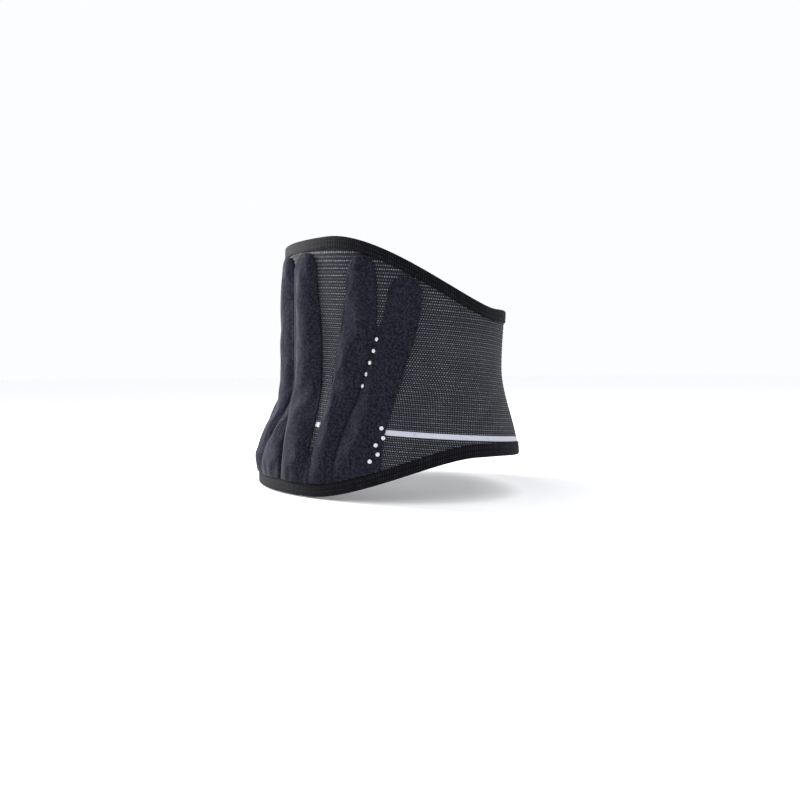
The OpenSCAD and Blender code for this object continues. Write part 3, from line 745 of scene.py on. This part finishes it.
def lathe(name, profile, places, paint, ring=24):
    """A small turned shape at each place. profile is radius and height in millimetres, base first, tip last
    at radius 0."""
    verts, faces = [], []
    for centre, axis in places:
        turned = Vector(axis).to_track_quat("Z", "Y").to_matrix()
        first = len(verts)
        for radius, height in profile[:-1]:
            for i in range(ring):
                a = 2 * math.pi * i / ring
                local = turned @ Vector((radius * math.cos(a), radius * math.sin(a), height)) * MM
                verts.append(Vector(centre) + local)
        verts.append(Vector(centre) + turned @ Vector((0, 0, profile[-1][1])) * MM)
        for k in range(len(profile) - 2):
            for i in range(ring):
                p, q = first + k * ring + i, first + k * ring + (i + 1) % ring
                faces.append([p, q, q + ring, p + ring])
        top = first + (len(profile) - 2) * ring
        faces += [[top + i, top + (i + 1) % ring, len(verts) - 1] for i in range(ring)]
        faces.append([first + i for i in reversed(range(ring))])
    return build(name, verts, faces, paint)


SEAM_DOTS = (29.7, 19, 8, -2.7, -13.8)
FOOT_DOTS = ((54.2, -51.4), (55, -60.4), (52.6, -66.2), (53.6, -74.7), (51.2, -81.1))


def silicone_dots(side):
    hand = "right" if side < 0 else "left"
    places = [(float(seam_line(z)) + 1.0, z) for z in SEAM_DOTS] + list(FOOT_DOTS)
    r, h = DOT_WIDTH / 2, DOT_HEIGHT
    dome = [(r * 0.96, -0.5), (r, 0.1), (r * 0.95, h * 0.42),
            (r * 0.8, h * 0.72), (r * 0.5, h * 0.93), (0, h)]
    obj = lathe(f"silicone_{hand}", dome, [face_at("outer", side, *p) for p in places], SILICONE_PAINT)
    settle(obj, "back", "silicone", f"dots_{hand}")


def sacral_panel():
    """The velour over the sacrum between the inner pads' feet, running up as a strip in the groove between
    the pads."""
    top = float(top_edge(0)) - TAPE_WIDTH - 14
    level = np.concatenate([np.linspace(float(pad_foot(0)), -30, 30), np.linspace(-25, top, 26)])
    columns = np.concatenate([-PAD_COLUMNS[PAD_COLUMNS > 0][::-1][1:], PAD_COLUMNS[PAD_COLUMNS >= 0][:-1]])
    half = inner_near(level) + 0.35 * span(0, level, 1.0)
    t = half[:, None] * columns[None, :]
    z = np.broadcast_to(level[:, None], t.shape)
    low_end = float(pad_foot(0))
    bulge = mix(0.35, 1, ease((level - low_end) / 18)) * ease((-30 - level) / 34)
    rise = 5.6 * bulge[:, None] * crown(columns)[None, :] + 0.5 * ease((level + 30) / 20)[:, None]
    low, high = skin(t, z, COVER_IN), skin(t, z, COVER_IN + TAPE + rise)
    face = inflate(low, high, 3.0, 1.0)
    shell = slab("sacral_panel", face - normals_of(face) * TAPE * MM, face, VELOUR_PAINT)
    settle(smooth_over(shell), "back", "velour", "sacral_cover")
    foam = slab("sacral_filling", skin(t, z, COVER_IN + 0.3)[6:24, 4:-4],
                (face - normals_of(face) * 1.4 * MM)[6:24, 4:-4], FOAM_PAINT)
    settle(smooth_over(foam), "back", "foam", "sacral_foam")


# ---- stripes ----
def stripe(name, side, start, end, where, nodes):
    angles = np.linspace(start, end, max(4, int((end - start) / 1.0)))
    shares = np.linspace(-1, 1, 7)
    t, v = np.meshgrid(angles, shares, indexing="ij")
    z = stripe_z(t) + v * STRIPE_WIDTH / 2
    puff = 0.42 - 0.22 * np.abs(v) ** 6 + 0.05 * slow_wave(t * 3, z * 3, 2.2)
    low, high = mirror(skin(t, z, KNIT - 0.1), -side), mirror(skin(t, z, KNIT + puff), -side)
    settle(slab(name, low, high, STRIPE_PAINT), where, "reflective", *nodes)


def stripes(side):
    hand = "right" if side < 0 else "left"
    level = float(stripe_z(57))
    end = 180 if side < 0 else LANDING_START - 1
    stripe(f"stripe_{hand}", side, float(outer_far(level)) - 0.6, end, f"{hand}_wing",
           ("back_stripe", f"{hand}_stripe"))
    bit = float(stripe_z(24))
    stripe(f"stripe_bit_{hand}", side, float(inner_far(bit)) + 0.2, float(mid_near(bit)) - 0.1, "back",
           ("back_stripe",))


# ---- flat patches: loop fields, pockets, label ----
def patch(name, side, t_range, low_edge, high_edge, d_in, d_out, paint, where, slot, nodes, puff=0.0,
          steps=(30, 60)):
    """A patch sewn flat on the belt, its rim pressed down and its corners a little rounded."""
    angles, shares = np.linspace(*t_range, steps[0]), np.linspace(0, 1, steps[1])
    t, v = np.meshgrid(angles, shares, indexing="ij")
    u = np.broadcast_to(np.linspace(0, 1, steps[0])[:, None], t.shape)
    corner = 0.05 * np.clip(1 - np.minimum(u, 1 - u) * 14, 0, 1) ** 2
    z = mix(low_edge(t), high_edge(t), mix(corner, 1 - corner, v))
    rim = np.minimum(ease(np.minimum(u, 1 - u) * 12), ease(np.minimum(v, 1 - v) * 24))
    rise = (d_out - d_in) * (0.55 + 0.45 * rim) + puff * np.sin(np.pi * u) * np.sin(np.pi * v)
    rise = rise + 0.08 * rim * slow_wave(t * 3, z * 2, 5.1)
    obj = slab(name, mirror(skin(t, z, d_in), -side), mirror(skin(t, z, d_in + rise), -side), paint)
    weave_attribute(obj, arc_lengths(skin(t, z, d_out)), z)
    return settle(obj, where, slot, *nodes)


LEFT_END = 180 - float(span(180, 0, TIP_SETBACK))
LANDING_END = LEFT_END - float(span(180, 0, TAPE_WIDTH + 0.4))
LANDING_START = LANDING_END - float(span(155, 0, 74))


def left_front():
    """The left wing's loop landing, finger pocket and bound tip."""
    def low(t):
        return bottom_edge(t) + TAPE_WIDTH + 3

    def high(t):
        return top_edge(t) - TAPE_WIDTH - 3

    landing = patch("loop_landing", 1, (LANDING_START, LANDING_END), low, high, KNIT + 0.05, COVER_IN + LOOP,
                    LOOP_PAINT, "left_wing_front", "loop_fabric", ("left_loop_patch",))
    cut_panel(landing, LANDING_START, LANDING_END, low, high, ["knit_left"])
    pocket_end = LANDING_START - float(span(140, 0, 20))
    pocket_start = LANDING_START - float(span(140, 0, 54))
    pocket_edges = (lambda t: low(t) + 10, lambda t: high(t) - 6)
    pocket = patch("finger_pocket_left", 1, (pocket_start, pocket_end), *pocket_edges, KNIT + 0.05,
                   COVER_IN + 1.1, TAPE_PAINT, "left_wing_front", "edge_tape", ("left_finger_pocket",), 1.2)
    cut_panel(pocket, pocket_start, pocket_end, *pocket_edges, ["knit_left"])
    raw = LEFT_END - float(span(180, 0, FOLD))
    levels = np.linspace(float(bottom_edge(180)) + 1.5, float(top_edge(180)) - 1.5, 90)
    path = np.stack([np.full(len(levels), raw), levels], -1)
    steer = np.tile([-float(span(180, 0, 1.0)), 0.0], (len(levels), 1))
    tape_along("tip_tape_left", path, steer, no_lift, 1, "left_wing_front", "edge_tape",
               ("left_end_binding",))


# ---- closure flap ----
FLAP_START = 180.2
FLAP_END = 180 + float(span(170, 0, FLAP_LENGTH))
STEP = float(span(180, 0, TIP_SETBACK - 5))
DEGREE = 1 / float(span(170, 0, 1.0))


def flap_lift(t):
    return PANEL_IN * ease((t - FLAP_START) / STEP)


def flap_trim(t):
    share = np.clip((t - FLAP_START) / (FLAP_END - FLAP_START), 0, 1)
    taper = (FRONT_RISE + FRONT_DROP - FLAP_END_HEIGHT) / 2 * ease(share)
    end = np.clip((share - 0.84) / 0.16, 0, 1)
    return taper + 22 * (1 - np.sqrt(1 - np.minimum(end * end, 0.96)))


def flap_low(t):
    return bottom_edge(t) + FOLD + flap_trim(t)


def flap_high(t):
    return top_edge(t) - FOLD - flap_trim(t)


def closure_flap():
    shares = np.concatenate([np.linspace(0, 0.84, 60, endpoint=False), np.linspace(0.84, 1, 24) ** 0.9])
    shares = np.clip(shares, 0, 1)
    shares.sort()
    angles = mix(180, FLAP_END, shares)
    t, v = np.meshgrid(angles, np.linspace(0, 1, 130), indexing="ij")
    z = mix(flap_low(t), flap_high(t), v)
    across = row_place(t, z)
    hem = ease(np.minimum(v, 1 - v) * 20)
    relief = hem * (rib_relief(across) + 0.3 * slow_wave(t, z, 6.3))
    panel = slab("flap_knit", skin(t, z, flap_lift(t)), skin(t, z, flap_lift(t) + KNIT + relief - 0.1),
                 KNIT_PAINT)
    weave_attribute(panel, arc_lengths(skin(t, z, flap_lift(t) + KNIT)), across)
    settle(panel, "flap_seam", "knit", "flap_panel")
    cut_panel(panel, 180, FLAP_END, flap_low, flap_high)

    bottom = np.stack([angles, flap_low(angles)], -1)
    end_levels = np.linspace(float(flap_low(FLAP_END)), float(flap_high(FLAP_END)), 26)[1:-1]
    end = np.stack([np.full(len(end_levels), FLAP_END), end_levels], -1)
    top = np.stack([angles, flap_high(angles)], -1)[::-1]
    path = np.concatenate([bottom, end, top])
    run = np.gradient(path * np.array([DEGREE, 1]), axis=0)
    soft = np.array([0.1, 0.2, 0.4, 0.2, 0.1])
    for k in range(2):
        padded = np.pad(run[:, k], 2, mode="edge")
        run[:, k] = np.convolve(padded, soft, "valid")
    run /= np.linalg.norm(run, axis=1, keepdims=True)
    inward = np.stack([-run[:, 1] / DEGREE, run[:, 0]], -1)
    tape_along("flap_tape", path, inward, flap_lift, -1, "flap_seam", "edge_tape", ("flap_binding",))
    inner_path = path + inward * (TAPE_WIDTH - FOLD - 1.6)
    spots, away = surface_path(inner_path[:, 0], inner_path[:, 1],
                               flap_lift(inner_path[:, 0]) + KNIT + FOLD + 0.12)
    stitches("flap_stitch", spots, away, 2.3, "flap_seam", side=-1)

    pocket = (FLAP_END - float(span(150, 0, TAPE_WIDTH + 30)), FLAP_END - float(span(150, 0, TAPE_WIDTH + 2)))
    edges = (lambda t: flap_low(t) + TAPE_WIDTH + 4, lambda t: flap_high(t) - TAPE_WIDTH - 4)
    obj = patch("finger_pocket_flap", -1, pocket, *edges, PANEL_IN + KNIT, PANEL_IN + KNIT + GAP + 1.1,
                TAPE_PAINT, "flap", "edge_tape", ("flap_finger_pocket",), 1.2)
    cut_panel(obj, *pocket, *edges, ["flap_knit"])

    seam = (180 - float(span(180, 0, 2.0)), mix(FLAP_START, FLAP_END, 0.11))
    t, v = np.meshgrid(np.linspace(*seam, 14), np.linspace(0, 1, 70), indexing="ij")
    z = mix(bottom_edge(180) + TAPE_WIDTH - 1.5, top_edge(180) - TAPE_WIDTH + 1.5, v)
    rim = ease(np.minimum(np.linspace(0, 1, 14), np.linspace(1, 0, 14))[:, None] * 9)
    rise = flap_lift(t) + KNIT
    joint = slab("flap_joint_tape", skin(t, z, rise - 0.2), skin(t, z, rise + 0.35 + 0.45 * rim), TAPE_PAINT)
    weave_attribute(joint, z, arc_lengths(skin(t, z, rise)))
    settle(joint, "flap_seam", "edge_tape", "flap_seam_tape")
    cut_panel(joint, *seam, lambda t: bottom_edge(180) + TAPE_WIDTH - 1.5,
              lambda t: top_edge(180) - TAPE_WIDTH + 1.5, ["flap_knit"])
    levels = np.linspace(z[0, 0] + 1, z[0, -1] - 1, 120)
    for name, angle in (("near", 180 - float(span(180, 0, 0.6))),
                        ("far", seam[1] - float(span(180, 0, 1.6)))):
        spots, away = surface_path(np.full(120, angle), levels, flap_lift(angle) + KNIT + 0.72)
        stitches(f"flap_joint_stitch_{name}", spots, away, 2.3, "flap_seam", side=-1)


def hook_sheet(name, side, t_range, low, high, d_base, d_tips, where, nodes, pitch=2.6):
    """Hook tape: a thin base, with rows of small bent hooks that point at d_tips."""
    angles, shares = np.linspace(*t_range, 20), np.linspace(0, 1, 40)
    t, v = np.meshgrid(angles, shares, indexing="ij")
    z = mix(low(t), high(t), v)
    toward = 1 if d_tips > d_base else -1
    base = 0.35 * toward
    obj = slab(name, mirror(skin(t, z, d_base), -side), mirror(skin(t, z, d_base + base), -side), HOOK_PAINT)
    settle(obj, where, "hook_plastic", *nodes)
    verts, faces = [], []
    step = float(span(sum(t_range) / 2, 0, pitch))
    bend = [(0, 0), (0.05, 0.6), (0.4, 0.95), (0.75, 0.8)]
    reach = abs(d_tips - d_base) - abs(base)
    for angle in np.arange(t_range[0] + step / 2, t_range[1], step):
        for level in np.arange(float(low(angle)) + 1.5, float(high(angle)) - 1.5, pitch):
            first = len(verts)
            for lean, up in bend:
                d = d_base + base + toward * reach * up
                wide = float(span(angle, level, 0.25))
                for dt in (-wide, wide):
                    for dz in (-0.16, 0.16):
                        verts.append((angle + dt, level + dz + lean, d))
            for k in range(len(bend) - 1):
                p = first + 4 * k
                faces += [[p, p + 1, p + 5, p + 4], [p + 1, p + 3, p + 7, p + 5],
                          [p + 3, p + 2, p + 6, p + 7], [p + 2, p, p + 4, p + 6]]
            q = first + 4 * (len(bend) - 1)
            faces += [[q, q + 1, q + 3, q + 2], [first, first + 2, first + 3, first + 1]]
    places = np.array(verts)
    tips = build(name + "_hooks", mirror(skin(places[:, 0], places[:, 1], places[:, 2]), -side), faces,
                 HOOK_PAINT)
    settle(tips, where, "hook_plastic")


def hook_strips():
    start = 180 + float(span(180, 0, TIP_SETBACK + 16))
    end = FLAP_END - float(span(150, 0, TAPE_WIDTH + 4))
    hook_sheet("flap_hook_sheet", -1, (start, end), lambda t: flap_low(t) + TAPE_WIDTH,
               lambda t: flap_high(t) - TAPE_WIDTH, HOOK_IN + HOOK, HOOK_IN, "flap", ("flap_hook",))
    for side, hand in ((-1, "right"), (1, "left")):
        centre, half = float(span(0, 0, LUMBAR_WIDTH * 0.26)), float(span(0, 0, 9))
        hook_sheet(f"lumbar_hook_strip_{hand}", side, (centre - half, centre + half),
                   lambda t: LUMBAR_Z - 50 + 0 * t, lambda t: LUMBAR_Z + 50 + 0 * t,
                   LUMBAR_FACE + 0.5, LUMBAR_FACE + 1.35, "lumbar_pad", ("lumbar_hooks",))


# ---- inside the back ----
def lumbar_pad():
    """The removable pad: a domed velour cover round a foam core, with soft nubs on its face."""
    across = np.sin(np.radians(np.linspace(-90, 90, 27)))
    up = np.sin(np.radians(np.linspace(-86, 86, 41)))
    v, u = np.meshgrid(up, across, indexing="ij")
    z = LUMBAR_Z + v * LUMBAR_HEIGHT / 2
    share = np.sqrt(np.maximum(1 - np.abs(v) ** 3.2, 0.0))
    t = span(0, z, u * share * LUMBAR_WIDTH / 2)
    dome = (1 - np.abs(u) ** 3) * (1 - np.abs(v) ** 4)
    back = skin(t, z, LUMBAR_FACE + 0 * z)
    front = skin(t, z, LUMBAR_FACE - 3.2 - (LUMBAR_THICK - 4.2) * dome)
    face = inflate(back, front, 4.0, 1.2)
    cover = smooth_over(slab("lumbar_cover_visual", back, face, PAD_PAINT))
    settle(cover, "lumbar_pad", "pad_velour", "lumbar_cover")
    middle = slice(3, -3)
    core = slab("lumbar_core_visual", skin(t, z, LUMBAR_FACE - 1.4)[middle, middle],
                skin(t, z, LUMBAR_FACE - 2.4 - (LUMBAR_THICK - 5) * dome)[middle, middle], CORE_PAINT)
    settle(smooth_over(core), "lumbar_pad", "pad_foam", "lumbar_core")
    places = []
    for side in (-1, 1):
        for row in range(-2, 3):
            j = int(np.argmin(np.abs(up - row * 0.3)))
            i = int(np.argmin(np.abs(across - side * 0.42)))
            places.append((face[j, i], (0, -1, 0)))
    nub = [(4.5, -0.6), (4.4, 0.4), (4.0, 1.2), (3.1, 1.8), (1.6, 2.1), (0, 2.2)]
    settle(lathe("nubs", nub, places, NUB_PAINT, 32), "lumbar_pad", "nub_rubber", "lumbar_nubs")


def inside_back():
    field = patch("loop_field", -1, (-22, 22), lambda t: -84 + 0 * t, lambda t: 86 + 0 * t, -0.05,
                  -GAP - LOOP, LOOP_PAINT, "back", "loop_fabric", ("pad_loop_field",), steps=(60, 90))
    cut_panel(field, -22, 22, lambda t: -84, lambda t: 86, ["knit_right", "knit_left"])
    label_top = float(top_edge(30)) - TAPE_WIDTH - 18
    angles, levels = np.linspace(30, 38, 14), np.linspace(0, 1, 30)
    t, v = np.meshgrid(angles, levels, indexing="ij")
    z = label_top - 28 + 28 * v
    curl = -GAP - 0.2 - 1.6 * (1 - v) ** 2
    label = slab("label_blank", skin(t, z, curl), skin(t, z, curl - 0.35), LABEL_PAINT)
    settle(label, "back", "label", "care_label")
    cut_panel(label, 30, 38, lambda t: label_top - 28, lambda t: label_top, ["knit_right"], held="hung")


# ---- whole belt ----
for side, hand in ((-1, "right"), (1, "left")):
    wing = f"{hand}_wing"
    end = 180 if side < 0 else LEFT_END - float(span(180, 0, FOLD))
    tape_end = 180 if side < 0 else LEFT_END
    knit_half(f"knit_{hand}", side, end, (f"{hand}_knit", "back_knit"), wing)
    level_tape(f"top_tape_{hand}", side, tape_end, top_edge, -1, wing,
               (f"{hand}_top_binding", "back_top_binding"))
    level_tape(f"bottom_tape_{hand}", side, tape_end, bottom_edge, 1, wing,
               (f"{hand}_bottom_binding", "back_bottom_binding"))
    for name, edge, inward in (("top", top_edge, -1), ("bottom", bottom_edge, 1)):
        angles = np.linspace(0, tape_end, 300)
        level = edge(angles) + inward * (TAPE_WIDTH - 1.6)
        spots, away = surface_path(angles, level, KNIT + FOLD + 0.12)
        stitches(f"{name}_stitch_{hand}", spots, away, 2.3, wing, side=side)
    for kind in PADS:
        stay_pad(kind, side)
    wedge_gusset(side)
    silicone_dots(side)
    stripes(side)
sacral_panel()
left_front()
closure_flap()
hook_strips()
lumbar_pad()
inside_back()

for name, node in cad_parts.items():
    if name.startswith("stay_"):
        node.data.materials.clear()
        node.data.materials.append(TIP_PAINT if name == "stay_tips" else STEEL_PAINT)


# ---- floor, light and camera ----
VIEW_AZIMUTH, VIEW_DISTANCE, VIEW_HEIGHT = 245.0, 1.06, 0.0106
VIEW_LENS, VIEW_SHIFT = 45, (0.009, -0.05)


def studio():
    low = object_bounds()[0]
    bpy.ops.mesh.primitive_plane_add(size=12, location=(0, 0, low.z - 0.001))
    floor = bpy.context.object
    floor.name = "floor"
    floor.data.materials.append(plain_paint("floor_paper", (0.965, 0.97, 0.98), (0.975, 0.98, 0.99), 0.95,
                                            3.0, 0.01, specular=0.1))
    floor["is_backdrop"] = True
    world = bpy.data.worlds.new("studio")
    world.use_nodes = True
    world.node_tree.nodes["Background"].inputs["Color"].default_value = (0.98, 0.985, 1.0, 1)
    world.node_tree.nodes["Background"].inputs["Strength"].default_value = 1.0
    bpy.context.scene.world = world
    bpy.context.scene.view_settings.view_transform = "Standard"
    a = math.radians(VIEW_AZIMUTH)
    back, left = Vector((math.sin(a), -math.cos(a), 0)), Vector((-math.cos(a), -math.sin(a), 0))
    for name, place, size, power in (
        ("key", left * 1.35 - back * 0.85 + Vector((0, 0, 0.45)), 0.5, 56),
        ("fill", back * 1.5 - left * 1.1 + Vector((0, 0, 0.9)), 1.6, 6),
        ("top", Vector((0, 0, 1.9)), 1.8, 7),
    ):
        light = bpy.data.objects.new(name, bpy.data.lights.new(name, "AREA"))
        light.data.size = size
        light.data.energy = power
        light.location = place
        light.rotation_mode = "QUATERNION"
        light.rotation_quaternion = place.to_track_quat("Z", "Y")
        bpy.context.scene.collection.objects.link(light)
    camera = bpy.data.objects.new("camera", bpy.data.cameras.new("camera"))
    camera.data.lens = VIEW_LENS
    camera.data.shift_x, camera.data.shift_y = VIEW_SHIFT
    camera.data.clip_start, camera.data.clip_end = 0.05, 50
    camera.location = back * VIEW_DISTANCE + Vector((0, 0, VIEW_HEIGHT))
    camera.rotation_mode = "QUATERNION"
    camera.rotation_quaternion = back.to_track_quat("Z", "Y")
    bpy.context.scene.collection.objects.link(camera)
    bpy.context.scene.camera = camera


studio()
